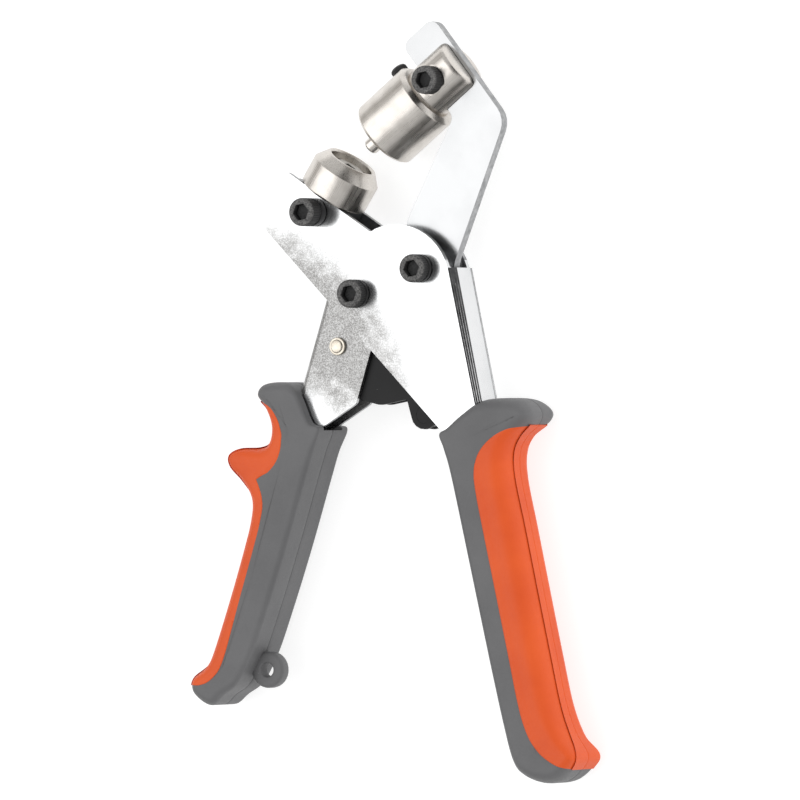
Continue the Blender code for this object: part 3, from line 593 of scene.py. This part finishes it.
sheets = {
    # the frame's bend gets the painted dark reflection finish
    "frame_channel": ("plate", "frame", math.radians(12), "bend"),
    # the handle's fold gets the painted shade finish
    "handle_channel": ("plate", "handle", math.radians(162.4), "fold"),
    "arm_plate": ("arm", "arm"),
    "link_front": ("link", "link"),
    "link_rear": ("link", "link"),
}
for sheetNode, settings in sheets.items():
    easedSheet(sheetNode, *settings)
print("sheet steel ready")


# grips: a grey moulded body with an orange skin wrapped over its outer side

leftGrip = {
    "half": 11.0,                        # half the grip's thickness
    "crown": 0.35,                       # how far the middle of its faces stands proud
    "seam": 0.22,                        # depth of the mould line
    "skin": 0.24,                        # how far the orange stands over the grey
    "lip": 0.55,                         # width of the orange's rounded border
    # outline as (x, y, edge radius), from the inner top corner down the inner side and round
    "outline": [
        (-38.4, -55.2, 0.8), (-41.2, -63.2, 2.0), (-44.2, -72.4, 2.0), (-51.9, -96.6, 2.0),
        (-59.5, -118.4, 2.0), (-65.3, -133.4, 2.0), (-71.0, -143.3, 2.0), (-76.8, -147.6, 2.6),
        (-81.0, -151.0, 3.0), (-85.3, -150.3, 3.4), (-89.2, -146.3, 3.0), (-88.9, -141.8, 3.4),
        (-84.6, -137.2, 5.0), (-81.9, -131.2, 6.0), (-75.7, -113.2, 6.5), (-70.4, -96.6, 6.5),
        (-67.6, -86.8, 6.0), (-66.9, -79.6, 5.0), (-69.8, -73.0, 3.4), (-73.6, -68.0, 2.2),
        (-73.7, -64.4, 1.8), (-69.8, -62.2, 3.0), (-63.2, -61.8, 4.0), (-59.9, -60.0, 4.6),
        (-59.0, -54.6, 5.0), (-60.9, -48.3, 4.2), (-63.4, -43.7, 3.0), (-61.7, -40.1, 3.2),
        (-56.5, -39.0, 3.6), (-50.6, -39.9, 2.8), (-46.8, -44.0, 1.6), (-42.6, -52.9, 1.2)],
    "spine": [(-50.0, -55.0), (-55.0, -75.0), (-66.0, -110.0), (-76.0, -138.0), (-81.0, -144.0)],
    # the orange's border on the face, as (place along the outline, x, y)
    "border": [
        (10.45, -89.15, -144.1), (10.8, -86.4, -144.3), (11.2, -83.4, -143.7), (12.0, -79.0, -140.6),
        (12.6, -76.9, -137.6), (13.0, -75.4, -134.0), (14.0, -69.5, -114.6), (15.0, -64.0, -96.9),
        (16.0, -61.3, -87.5), (17.0, -60.3, -80.6), (17.6, -61.2, -76.4), (18.0, -62.7, -72.7),
        (19.0, -60.2, -71.3), (20.0, -57.8, -70.0), (21.0, -55.0, -66.8), (22.0, -53.4, -63.0),
        (23.0, -52.9, -59.5), (24.0, -53.1, -55.6), (24.6, -54.8, -51.2), (25.1, -58.0, -47.4),
        (25.35, -60.6, -46.2), (25.55, -62.45, -45.6)],
    "notch": 11,                         # the border's one sharp corner
}

rightGrip = {
    "half": 11.5,
    "crown": 0.35,
    "seam": 0.22,
    "skin": 0.24,
    "lip": 0.55,
    "outline": [
        (8.9, -57.0, 1.2), (11.9, -54.6, 2.0), (17.2, -49.7, 3.2), (22.6, -45.6, 4.4), (30.0, -44.5, 5.0),
        (38.6, -45.1, 4.6), (43.0, -48.8, 3.6), (42.6, -52.8, 4.2), (37.4, -57.5, 5.4), (34.6, -63.0, 6.4),
        (34.9, -71.8, 7.0), (38.8, -88.9, 7.5), (43.6, -110.5, 7.5), (48.5, -132.2, 7.5),
        (52.4, -148.9, 7.0), (56.2, -159.0, 5.5), (60.7, -166.2, 3.4), (59.2, -170.6, 3.6),
        (54.0, -175.2, 4.0), (47.4, -176.2, 4.2), (40.4, -173.8, 4.0), (36.6, -169.0, 3.4),
        (33.4, -156.6, 2.6), (28.2, -135.2, 2.4), (20.1, -100.8, 2.4), (13.2, -71.5, 2.2),
        (10.4, -62.0, 1.8)],
    "spine": [(21.0, -58.0), (24.5, -72.0), (31.0, -100.0), (42.0, -148.0), (47.5, -167.0)],
    "border": [
        (7.2, 41.3, -54.1), (7.5, 38.6, -54.5), (8.0, 35.1, -55.2), (8.5, 30.4, -57.5), (9.0, 26.4, -60.9),
        (9.5, 23.8, -65.2), (10.0, 22.9, -71.0), (10.5, 24.0, -78.6), (11.0, 26.0, -87.7),
        (12.0, 31.0, -109.6), (13.0, 36.0, -131.5), (14.0, 40.0, -149.2), (14.6, 41.9, -155.6),
        (15.0, 43.6, -159.6), (15.6, 46.4, -163.9), (16.0, 49.0, -166.6), (16.5, 53.4, -169.5),
        (16.9, 56.5, -170.7), (17.15, 58.7, -171.2)],
    "notch": None,
}


def closedCurve(knots, places):
    # a closed Catmull-Rom curve read at places, where place 2.5 is half way from knot 2 to knot 3
    knots = np.asarray(knots, float)
    base = np.floor(places).astype(int)
    t = (places - base)[:, None]
    a, b, c, d = (knots[(base + k) % len(knots)] for k in (-1, 0, 1, 2))
    return 0.5 * (2 * b + (c - a) * t + (2 * a - 5 * b + 4 * c - d) * t ** 2
                  + (3 * b - a - 3 * c + d) * t ** 3)


def openCurve(table, places, corner=None):
    # cubic Hermite curve through (place, x, y) rows; its slope is zero at a sharp corner
    table = np.asarray(table, float)
    u, spots = table[:, 0], table[:, 1:]
    slope = np.gradient(spots, u, axis=0)
    if corner is not None:
        slope[corner] = 0
    i = np.clip(np.searchsorted(u, places, side="right") - 1, 0, len(u) - 2)
    step = (u[i + 1] - u[i])[:, None]
    t = ((places - u[i])[:, None]) / step
    return ((2 * t ** 3 - 3 * t ** 2 + 1) * spots[i] + (t ** 3 - 2 * t ** 2 + t) * step * slope[i]
            + (3 * t ** 2 - 2 * t ** 3) * spots[i + 1] + (t ** 3 - t ** 2) * step * slope[i + 1])


def nearestOn(points, line, closed):
    # for every point the distance to a line of points and the nearest spot on it
    ends = np.roll(line, -1, axis=0) if closed else line[1:]
    starts = line if closed else line[:-1]
    run = (ends - starts)[:, :2]
    gap = points[:, None, :2] - starts[None, :, :2]
    t = np.clip((gap * run).sum(-1) / (run ** 2).sum(-1), 0, 1)
    miss = np.linalg.norm(gap - t[..., None] * run, axis=-1)
    best = miss.argmin(1)
    rows = np.arange(len(points))
    share = t[rows, best][:, None]
    return miss[rows, best], starts[best] * (1 - share) + ends[best] * share


def outwardNormals(line):
    # the outline runs with the grip on its right, so its left-hand side points outwards
    ahead = np.roll(line, -1, axis=0)[:, :2] - np.roll(line, 1, axis=0)[:, :2]
    ahead /= np.linalg.norm(ahead, axis=1)[:, None]
    return np.stack([-ahead[:, 1], ahead[:, 0]], 1)


def edgeShape(r, half):
    # a tight edge is a quarter circle; a wide one is a superellipse that reaches almost to the mould line
    wide = np.clip((r - 2.4) / 3.6, 0, 1)
    wide = wide ** 2 * (3 - 2 * wide)
    return r + (half - 0.6 - r) * wide, 2.0 + 0.35 * wide


def gripHeight(points, line, grip):
    # height over the mid-plane: the edge's superellipse near the outline, then a slow rise to the crown
    gap, spot = nearestOn(points, line, True)
    r = spot[:, 2]
    tall, power = edgeShape(r, grip["half"])
    across = np.clip((r - gap) / r, 0, 1)
    rise = np.clip((gap - r) / 7.0, 0, 1)
    return grip["half"] - tall + tall * np.clip(1 - across ** power, 0, 1) ** (1 / power) \
        + grip["crown"] * rise ** 2 * (3 - 2 * rise)


seamRows = np.array([0.0, 0.12, 0.26, 0.5])
edgeTurns = np.linspace(0, np.pi / 2 - 1e-9, 15)[1:]


def sideRows(wall):
    # heights up the straight side, close together at the mould line: rows x stations
    upper = np.linspace(0.25, 1.0, 4)[:, None]
    return np.concatenate([np.repeat(seamRows[:, None], len(wall), 1),
                           0.5 + upper * (wall - 0.5)[None, :]])


def gripBody(name, grip, body, node):
    # stations run round the outline; rows climb the side, roll over the edge and run in to the spine
    places = np.arange(0, len(grip["outline"]), 1 / 12)
    line = closedCurve(grip["outline"], places)
    out = outwardNormals(line)
    tall, power = edgeShape(line[:, 2], grip["half"])
    wall = grip["half"] - tall
    rows = []
    for z in sideRows(wall):
        sunk = grip["seam"] * np.exp(-(z / 0.22) ** 2)
        rows.append(np.column_stack([line[:, :2] - out * sunk[:, None], z]))
    for turn in edgeTurns:
        flat = line[:, :2] - out * (line[:, 2] * (1 - math.cos(turn) ** (2 / power)))[:, None]
        rows.append(np.column_stack([flat, wall + tall * math.sin(turn) ** (2 / power)]))
    ring = rows[-1][:, :2]
    spineKnots = np.array(grip["spine"], float)
    steps = np.linspace(0, len(spineKnots) - 1, 60)
    spine = np.stack([np.interp(steps, np.arange(len(spineKnots)), spineKnots[:, k]) for k in (0, 1)], 1)
    inner = nearestOn(ring, spine, False)[1]
    for share in np.linspace(0, 0.97, 11)[1:]:          # the narrow slot left along the spine is filled flat
        flat = ring + (inner - ring) * share
        rows.append(np.column_stack([flat, gripHeight(flat, line, grip)]))
    front = np.array(rows)
    back = front[:0:-1] * (1, 1, -1)
    points = np.concatenate([back, front])
    faces = gridQuads(len(points), points.shape[1])
    return makePiece(name, points, faces, "grey", body, node, 50.0), line


def gripSkin(name, grip, line, body, node):
    # each station is a closed loop: from the border over the edge and the side to the back, and home inside
    table = grip["border"]
    places = np.linspace(table[0][0], table[-1][0], 460)
    outer = closedCurve(grip["outline"], places)
    normal = outwardNormals(closedCurve(grip["outline"], np.concatenate([places[:1] - 0.02, places,
                                                                         places[-1:] + 0.02])))[1:-1]
    border = openCurve(table, places, grip["notch"])
    border[0], border[-1] = outer[0, :2], outer[-1, :2]
    span = np.linalg.norm(border - outer[:, :2], axis=1)
    toEnd = np.minimum(places - places[0], places[-1] - places) * 4.0

    def shell(lift):
        edge = outer[:, :2] + normal * lift
        radius = np.minimum(outer[:, 2] + lift, span + 0.001)
        begin = np.minimum(radius / np.maximum(span, 0.001), 1.0)
        tall, power = edgeShape(outer[:, 2], grip["half"])
        shares = [begin * (1 - math.cos(turn) ** (2 / power)) for turn in edgeTurns]
        tail = [begin + (1 - begin) * s for s in (0.25, 0.5, 0.72, 0.88, 0.96, 1.0)]
        rows = [np.column_stack([edge, z]) for z in sideRows(grip["half"] - tall)]
        for share in shares + tail:
            share = np.clip(share, 0, 1)[:, None]
            flat = edge + (border - edge) * share
            height = gripHeight(flat, line, grip)
            toBorder = span * (1 - share[:, 0])
            bend = np.sqrt(np.clip(1 - (1 - np.clip(toBorder / grip["lip"], 0, 1)) ** 2, 0, 1))
            fade = np.sqrt(np.clip(1 - (1 - np.clip(toEnd, 0, 1)) ** 2, 0, 1))
            rows.append(np.column_stack([flat, height + (lift * bend * fade if lift > 0 else lift)]))
        return np.array(rows)

    top = shell(grip["skin"])
    seam = grip["seam"] * 0.8 * np.exp(-(seamRows / 0.2) ** 2)
    top[:4, :, :2] -= normal[None] * seam[:, None, None]
    under = shell(-0.5)
    flip = np.array([1, 1, -1])
    loop = np.concatenate([(top * flip)[:0:-1], top, under[::-1], (under * flip)[1:]])
    points = loop.transpose(1, 0, 2)                    # stations x loop
    count = points.shape[1]
    faces = gridQuads(len(points), count)
    half = count // 2
    ends = []
    for station in (0, len(points) - 1):                # close both ends, outer row to inner row
        k = np.arange(half - 1)
        first = station * count
        ends.append(np.stack([first + k, first + k + 1, first + count - 2 - k, first + count - 1 - k], 1))
    faces = np.concatenate([faces] + ends)
    return makePiece(name, points, faces, "orange", body, node, 50.0)


def pocketCutter(name, corners, half):
    # an upright prism on a polygon: two rows of corners
    spots = np.asarray(corners, float)
    rows = [np.column_stack([spots, np.full(len(spots), z)]) for z in (-half, half)]
    return cutterPiece(name, np.array(rows), gridQuads(2, len(spots)))


for side, grip, gripRide, pocket in (
        ("left", leftGrip, "handle", ([(-45.2, -36.0), (-74.4, -127.0), (-63.4, -127.0), (-41.8, -58.4),
                                       (-41.6, -56.4), (-38.6, -55.8), (-20, -44), (-20, -30)], 6.7)),
        ("right", rightGrip, "frame", ([(20.2, -30.0), (44.9, -148.4), (34.4, -149.4), (15.5, -71.2),
                                        (12.6, -60.1), (11.0, -56.7), (8.3, -56.7), (-16, -33)], 8.5))):
    gripPiece, gripLine = gripBody(side + "GripBody", grip, gripRide, side + "_grip_core")
    gripSkin(side + "GripSkin", grip, gripLine, gripRide, side + "_grip_overmold")
    carve(gripPiece, [pocketCutter(side + "Pocket", *pocket)], 50.0)
print("grips ready")


lanyardEye = {"at": (-63.2, -138.8, 0.0), "outer": 6.3, "inner": 2.4, "half": 2.7, "round": 1.5}


def eyePiece(eye):
    # a thick ring with soft edges: a closed profile turned about an upright axis
    r, w, h, e = eye["outer"], eye["inner"], eye["half"], eye["round"]
    corners = [(w, 0, 0), (w, h, 0.8), (r, h, e), (r, -h, e), (w, -h, 0.8), (w, 0, 0)]
    turnedPiece("lanyardEye", corners, eye["at"], upright, "grey", "handle", "left_grip_core", 96, 60.0)


eyePiece(lanyardEye)
print("lanyard eye ready")


# fasteners: knurled socket heads, collars, nuts and the rivet

knurl = {"teeth": 34, "depth": 0.17, "steps": 340}


def socketScrew(name, at, axes, head, body, node):
    # radius(height, angle): a round shank and head, cut by knurl teeth on the head's side and by a
    # hexagon inside the socket; every row is a height, every column an angle; a row holds its radius,
    # height, share of the teeth, share of the hexagon, and wear
    count = knurl["steps"]
    a = np.linspace(0, 2 * np.pi, count, endpoint=False)
    teeth = knurl["depth"] * (0.5 + 0.5 * np.cos(knurl["teeth"] * a)) ** 1.6
    seat, top, r, flat, deep = head["seat"], head["top"], head["radius"], head["flat"], head["deep"]
    rows = [(0, head["low"], 0, 0, 0), (head["shank"] - 0.35, head["low"], 0, 0, 0.3),
            (head["shank"], head["low"] + 0.35, 0, 0, 0.1), (head["shank"], seat, 0, 0, 0),
            (r - 0.5, seat, 0, 0, 0), (r - 0.12, seat + 0.14, 0, 0, 0.15), (r, seat + 0.45, 0, 0, 0.1),
            (r, seat + 0.6, 1, 0, 0.05)]
    rows += [(r, top - 1.0, 1, 0, 0.05), (r - 0.05, top - 0.75, 0.4, 0, 0.35),
             (r - 0.22, top - 0.38, 0, 0, 0.7), (r - 0.55, top - 0.12, 0, 0, 0.8), (r - 1.0, top, 0, 0, 0.75),
             (flat + 0.45, top, 0, 0.55, 0.6), (flat + 0.12, top - 0.1, 0, 0.9, 0.55),
             (flat, top - 0.4, 0, 1, 0.15), (flat, top - deep, 0, 1, 0),
             (flat * 0.9, top - deep - 0.1, 0, 0.4, 0), (0, top - deep - 0.9, 0, 0, 0)]
    table = np.array(rows, float)
    radius = table[:, 0:1] - table[:, 2:3] * teeth[None]
    hexagon = hexRadius(count, 1.0, 0.35)[None]
    radius = radius * (1 + table[:, 3:4] * (hexagon - 1))
    points, faces = turnedGrid(radius, table[:, 1], at, axes, count)
    wear = np.repeat(table[:, 4:5], count, 1)
    return makePiece(name, points, faces, "screw", body, node, 38.0, wear)


def hexNut(name, at, low, high, bore, flat, body, node):
    # a hexagon whose corners are trimmed by a cone at both faces
    count = 144
    reach = hexRadius(count, flat)
    z = np.array([low, low, low + 0.25, low + 0.6, low + 1.0,
                  high - 1.0, high - 0.6, high - 0.25, high, high])
    cone = np.array([bore, flat - 0.1, flat + 0.35, flat + 0.7, 9,
                     9, flat + 0.7, flat + 0.35, flat - 0.1, bore])
    radius = np.minimum(reach[None], cone[:, None])
    radius = np.concatenate([radius, radius[:1]])
    points, faces = turnedGrid(radius, np.append(z, z[0]), at, upright, count)
    makePiece(name, points, faces, "screw", body, node, 30.0)


boltHead = {"radius": 4.9, "flat": 2.6, "deep": 3.0, "shank": 3.0, "low": -midHeight}
collarShape = {"low": 8.55, "outer": 4.9, "bore": 3.3}
nutShape = {"high": -8.5, "bore": 3.3, "flat": 4.94}
for name, spot, seat, top, collar in (("lower_die_screw", dieScrew, 12.3, 18.2, 12.0),
                                      ("handle_pivot_bolt", handlePivot, 10.6, 14.6, 10.3),
                                      ("arm_pivot_bolt", armPivot, 10.6, 14.6, 10.3)):
    at = (spot.x, spot.y, 0.0)
    head = dict(boltHead, seat=seat, top=top)
    stem = name.replace("_bolt", "")
    camel = "".join(w.capitalize() if i else w for i, w in enumerate(stem.split("_")))
    socketScrew(camel + "Head", at, upright, head, "frame", name)
    ringNode = "lower_die_screw_collar" if name == "lower_die_screw" else stem + "_washer"
    low, outer, bore = collarShape["low"], collarShape["outer"], collarShape["bore"]
    ring = [(bore, low, 0), (outer, low, 0.4), (outer, collar, 0.5), (bore, collar, 0), (bore, low, 0)]
    turnedPiece(camel + "Collar", ring, at, upright, "screw", "frame", ringNode, 96)
    hexNut(camel + "Nut", at, -midHeight, nutShape["high"], nutShape["bore"], nutShape["flat"], "frame",
           stem + "_nut")

rivetProfile = [(0, 7.8, 0), (1.0, 7.76, 0.3), (1.9, 7.6, 0.2), (2.2, 7.42, 0.12), (2.3, 7.1, 0.08),
                (2.55, 7.05, 0.05), (2.95, 6.98, 0.12), (3.1, 6.75, 0.1), (3.1, 6.25, 0.05), (2.5, 6.2, 0),
                (2.5, -6.2, 0), (3.15, -6.25, 0.05), (3.15, -6.9, 0.2), (2.3, -7.8, 0.6), (0, -8.35, 0)]
turnedPiece("linkRivetHead", rivetProfile, (linkRivet.x, linkRivet.y, 0), upright, "rivet", "handle",
            "link_rivet", 96, 30.0)
pinProfile = [(0, 4.05, 0), (2.95, 4.05, 0), (2.95, 3.6, 0), (2.5, 3.5, 0),
              (2.5, -3.5, 0), (2.95, -3.6, 0), (2.95, -4.05, 0), (0, -4.05, 0)]
pinSpot = middleOf("tail_pin")
turnedPiece("tailPin", pinProfile, (pinSpot.x, pinSpot.y, 0), upright, "link", "arm", "tail_pin", 64)
print("fasteners ready")


# the two dies

lowerDie = {"foot": (-38.6, 25.1), "radius": 12.25, "top": 14.4, "chamfer": 4.2, "rim": 9.0, "recess": 7.8,
            "recessDeep": 6.2, "insertDeep": 2.0, "shank": 4.8}
upperDie = {"offset": -47.6, "face": 13.9, "shoulder": 37.0, "end": 54.0, "radius": 12.7, "stem": 9.7,
            "punch": 5.0, "punchTop": 34.7, "nub": 2.8, "nubLength": 6.6,
            "slot": 39.7, "clampAt": 44.0, "clampSeat": 9.0, "setAt": 32.9}


def spotOn(axes, start, along, across=0.0):
    # a point along an axis and to its right
    return np.array([start[0], start[1], 0.0]) + axes[0] * along + axes[1] * across


def roundCutter(name, radius, low, high, at, axes, steps=48):
    # a plain cylinder between two heights on an axis
    return cutterPiece(name, *turnedGrid(np.array([radius, radius]), np.array([low, high]), at, axes, steps))


def makeLowerDie(die):
    axes = axisFrame(dieLean["lower"])
    foot = (*die["foot"], 0.0)
    top, r = die["top"], die["radius"]
    cup = [(0, top - die["recessDeep"], 0), (die["recess"], top - die["recessDeep"], 0.3),
           (die["recess"], top - 0.55, 0.15), (die["recess"] + 0.5, top, 0.12), (die["rim"], top, 0.15),
           (r, top - die["chamfer"], 0.2), (r, 0.9, 0.2), (r - 0.6, 0.3, 0.12), (die["shank"], 0.3, 0.1),
           (die["shank"], -11.0, 0.1), (die["shank"] - 0.8, -11.8, 0.1), (0, -11.8, 0)]
    piece = turnedPiece("lowerDieCup", cup, foot, axes, "lowerDie", "frame", "lower_die_cup", 192, 24.0)
    screwAt = (dieScrew.x, dieScrew.y, 0.0)
    carve(piece, [roundCutter("dieScrewHole", 3.3, -20.0, 20.0, screwAt, upright)], 24.0)

    high, low = top - die["insertDeep"], top - die["recessDeep"] + 0.3
    disc = [(0, high, 0), (5.3, high, 0.25), (6.9, high - 1.1, 0.2), (6.9, low, 0.1), (0, low, 0)]
    insert = turnedPiece("lowerDieInsert", disc, foot, axes, "insert", "frame", "lower_die_insert", 128, 24.0)
    cut = []
    for name, middle, wide, deep in (("insertHole", 0.0, 1.9, 3.2), ("insertSlotLeft", -6.6, 2.0, 1.6),
                                     ("insertSlotRight", 6.6, 2.0, 1.6)):
        tall = 1.9 if middle == 0 else 1.0
        rim = [spotOn(axes, foot, high - deep, middle + x) + axes[2] * z
               for x, z in ((-wide, -tall), (wide, -tall), (wide, tall), (-wide, tall))]
        lift = axes[0] * (deep + 1.5)
        cut.append(cutterPiece(name, np.array([rim, rim + lift]), gridQuads(2, 4)))
    carve(insert, cut, 24.0)


def makeUpperDie(die):
    axes = axisFrame(dieLean["upper"])
    base = spotOn(axes, (0, 0), 0.0, die["offset"])
    face, shoulder, end, r, stem = die["face"], die["shoulder"], die["end"], die["radius"], die["stem"]
    holder = [(0, end, 0), (stem - 1.9, end, 0.4), (stem - 0.5, end - 0.55, 0.4), (stem, end - 1.7, 0.4),
              (stem, shoulder + 0.8, 0.1), (stem - 0.6, shoulder + 0.6, 0.08), (stem - 0.6, shoulder, 0.1),
              (r - 1.7, shoulder, 0.15), (r, shoulder - 1.5, 0.25), (r, face + 1.1, 0.3),
              (r - 1.1, face, 0.3),
              (die["punch"] + 0.3, face, 0.1), (die["punch"] + 0.3, die["punchTop"] + 0.4, 0.1),
              (0, die["punchTop"] + 0.4, 0)]
    piece = turnedPiece("upperDieHolder", holder, base, axes, "upperDie", "arm", "upper_die_holder", 192, 24.0)
    low, high = die["slot"], 60.0
    corners = [spotOn(axes, (0, 0), along, die["offset"] + across) for along, across in
               ((low, -15), (low, 15), (high, 15), (high, -15))]
    prism = np.array([[(*c[:2], z) for c in corners] for z in (-2.3, 2.3)])
    cut = [cutterPiece("stemSlot", prism, gridQuads(2, 4))]
    screwAt = spotOn(axes, (0, 0), die["clampAt"], die["offset"])
    cut.append(roundCutter("clampHole", 2.8, -15.0, 15.0, screwAt, upright))
    cut.append(roundCutter("clampSeat", 5.3, die["clampSeat"] - 0.3, 20.0, screwAt, upright, 96))
    setAt = spotOn(axes, (0, 0), die["setAt"], die["offset"])
    sideways = (-axes[1], axes[0], axes[2])
    cut.append(roundCutter("setHole", 3.3, die["punch"] + 0.1, 20.0, setAt, sideways))
    carve(piece, cut, 24.0)

    nub, tip = die["nub"], face - die["nubLength"]
    punch = [(0, die["punchTop"], 0), (die["punch"], die["punchTop"], 0.1), (die["punch"], face, 0.15),
             (nub, face, 0.1), (nub, tip + 0.6, 0.1), (nub - 0.55, tip, 0.15), (0.9, tip, 0.05),
             (0.75, tip + 0.3, 0), (0, tip + 0.3, 0)]
    turnedPiece("upperDiePunch", punch, base, axes, "upperDie", "arm", "upper_die_punch", 96, 24.0)

    clamp = dict(boltHead, seat=die["clampSeat"], top=14.8, shank=2.5, low=-9.1)
    socketScrew("holderClampScrew", screwAt, upright, clamp, "arm", "holder_clamp_screw")
    grub = {"seat": 6.6, "top": 14.8, "radius": 3.0, "flat": 1.35, "deep": 2.4, "shank": 1.6, "low": 5.3}
    socketScrew("punchSetScrew", setAt, sideways, grub, "arm", "punch_set_screw")


makeLowerDie(lowerDie)
makeUpperDie(upperDie)
print("dies ready")

low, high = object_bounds()
